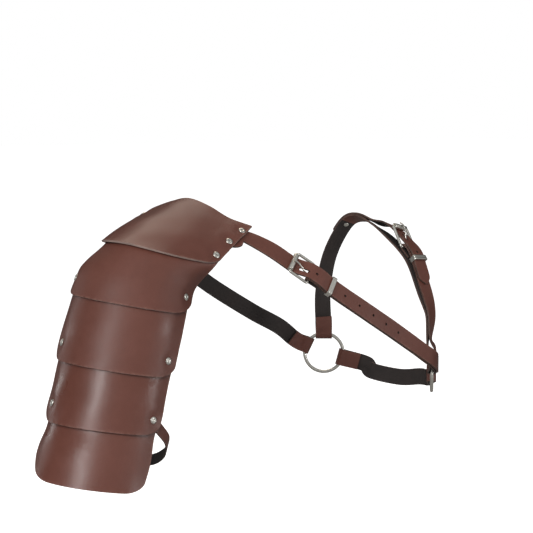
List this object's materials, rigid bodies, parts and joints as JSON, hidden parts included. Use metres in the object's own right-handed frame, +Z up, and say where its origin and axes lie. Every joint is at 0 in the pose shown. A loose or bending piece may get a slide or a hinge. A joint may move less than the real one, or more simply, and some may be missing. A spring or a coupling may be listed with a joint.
{
  "type": "pauldron",
  "caption": "Right-shoulder pauldron of brown leather: a shoulder cap and riveted overlapping arm lames, worn on a chest and shoulder harness with roller buckles and rings.",
  "frame": {"origin": "seat on top of the wearer's right shoulder, under the cap", "axes": "+Z up, the wearer faces -Y, the wearer's left is +X"},
  "size_m": [0.457, 0.2198, 0.2698],
  "materials": {
    "leather": "smooth, semi-gloss brown",
    "steel": "polished nickel"
  },
  "bodies": {
    "root": {"arm_lame_1": "leather", "arm_lame_2": "leather", "arm_lame_3": "leather", "arm_lame_4": "leather", "arm_strap": "leather", "back_strap": "leather", "cap_rivet_back_1": "steel", "cap_rivet_back_2": "steel", "cap_rivet_back_3": "steel", "cap_rivet_front_1": "steel", "cap_rivet_front_2": "steel", "cap_rivet_front_3": "steel", "chest_billet": "leather", "chest_buckle_frame": "steel", "chest_chape": "leather", "chest_keeper": "steel", "chest_roller": "steel", "chest_tongue": "steel", "front_ring": "steel", "lame_rivet_back_1": "steel", "lame_rivet_back_2": "steel", "lame_rivet_back_3": "steel", "lame_rivet_front_1": "steel", "lame_rivet_front_2": "steel", "lame_rivet_front_3": "steel", "rear_ring": "steel", "shoulder_billet": "leather", "shoulder_buckle_frame": "steel", "shoulder_cap": "leather", "shoulder_keeper": "steel", "shoulder_rivet": "steel", "shoulder_roller": "steel", "shoulder_strap": "leather", "shoulder_tongue": "steel", "underarm_strap": "leather"}
  },
  "joints": []
}
